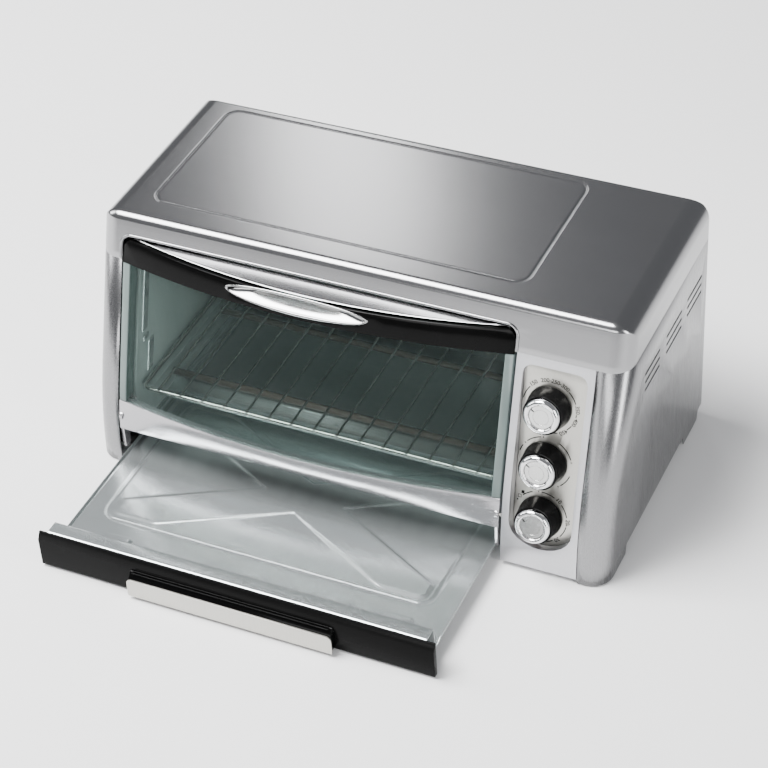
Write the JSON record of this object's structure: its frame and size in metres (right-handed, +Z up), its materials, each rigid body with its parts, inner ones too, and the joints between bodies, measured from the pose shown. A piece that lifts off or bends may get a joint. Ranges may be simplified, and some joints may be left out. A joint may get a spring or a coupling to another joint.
{
  "type": "toaster oven",
  "caption": "Countertop toaster oven with a bowed drop-down glass door, wire rack, three rotary dials and a crumb tray drawn out below the door.",
  "frame": {"origin": "centre of the whole object's footprint box, on the surface that the feet stand on", "axes": "+Z up, the front with its door and dials faces -Y, +X to the right of a person facing the front"},
  "size_m": [0.47, 0.424, 0.226],
  "materials": {
    "brushed_steel": "brushed, mid grey",
    "satin_silver": "satin silver",
    "nickel": "fine brushed, warm",
    "chrome": "polished",
    "black_gloss": "gloss",
    "black_plastic": "satin",
    "tinted_glass": "clear, faint green-grey tint",
    "tray_steel": "galvanised sheet",
    "cavity_steel": "dull galvanised sheet",
    "heater_steel": "heat-browned sheath",
    "rack_chrome": "plated wire",
    "rubber": "matte",
    "lens_red": "clear dark red",
    "phenolic": "moulded"
  },
  "bodies": {
    "casing": {"top_cover": "brushed_steel", "left_side_panel": "satin_silver", "right_side_panel": "satin_silver", "rear_panel": "satin_silver", "bottom_plate": "satin_silver", "control_panel": "satin_silver", "rear_screw_1": "satin_silver", "rear_screw_2": "satin_silver", "rear_screw_3": "satin_silver", "rear_screw_4": "satin_silver", "dial_plate": "nickel", "cord_gland": "black_plastic", "control_bracket": "tray_steel", "thermostat": "tray_steel", "timer": "tray_steel", "lower_reflector": "tray_steel", "tray_guide_left": "tray_steel", "tray_guide_right": "tray_steel", "front_frame": "cavity_steel", "cavity_left_wall": "cavity_steel", "cavity_right_wall": "cavity_steel", "cavity_roof": "cavity_steel", "cavity_back": "cavity_steel", "rack_support_left": "cavity_steel", "rack_support_right": "cavity_steel", "upper_front_heater": "heater_steel", "upper_rear_heater": "heater_steel", "lower_front_heater": "heater_steel", "lower_rear_heater": "heater_steel", "hinge_pin_left": "rack_chrome", "hinge_pin_right": "rack_chrome", "timer_bell": "rack_chrome", "foot_pad_front_left": "rubber", "foot_pad_front_right": "rubber", "foot_pad_rear_left": "rubber", "foot_pad_rear_right": "rubber", "indicator_lens": "lens_red", "indicator_lamp": "lens_red", "function_switch": "phenolic"},
    "door": {"door_glass": "tinted_glass", "door_side_trim_left": "satin_silver", "door_side_trim_right": "satin_silver", "door_top_rail": "black_gloss", "door_top_ledge": "brushed_steel", "door_handle_scoop": "chrome", "door_bottom_rail": "satin_silver"},
    "rack": {"wire_rack": "rack_chrome"},
    "tray": {"crumb_tray": "tray_steel", "tray_fascia": "black_plastic", "tray_grip": "black_plastic", "grip_plate": "nickel"},
    "temperature_dial": {"temperature_knob": "black_plastic", "temperature_knob_ring": "chrome", "temperature_shaft": "tray_steel"},
    "function_dial": {"function_knob": "black_plastic", "function_knob_ring": "chrome", "function_shaft": "tray_steel"},
    "timer_dial": {"timer_knob": "black_plastic", "timer_knob_ring": "chrome", "timer_shaft": "tray_steel"}
  },
  "joints": [
    {"name": "door_hinge", "type": "hinge", "parent": "casing", "child": "door", "pos_m": [0, -0.0586, 0.049], "axis": [1, 0, 0], "range_deg": [0, 72]},
    {"name": "rack_slide", "type": "slide", "parent": "casing", "child": "rack", "axis": [0, -1, 0], "range_m": [0, 0.026]},
    {"name": "tray_slide", "type": "slide", "parent": "casing", "child": "tray", "axis": [0, -1, 0], "range_m": [-0.1335, 0.02]},
    {"name": "temperature_turn", "type": "hinge", "parent": "casing", "child": "temperature_dial", "pos_m": [0.173, -0.02685, 0.14632], "axis": [0, 0.9744, -0.225], "range_deg": [0, 300]},
    {"name": "function_turn", "type": "hinge", "parent": "casing", "child": "function_dial", "pos_m": [0.173, -0.0381, 0.0976], "axis": [0, 0.9744, -0.225], "range_deg": [0, 150]},
    {"name": "timer_turn", "type": "hinge", "parent": "casing", "child": "timer_dial", "pos_m": [0.173, -0.04935, 0.04888], "axis": [0, 0.9744, -0.225], "range_deg": [0, 300]}
  ],
  "couplings": [
    {"joint": "rack_slide", "follows": "door_hinge", "m_per_rad": 0.02}
  ]
}
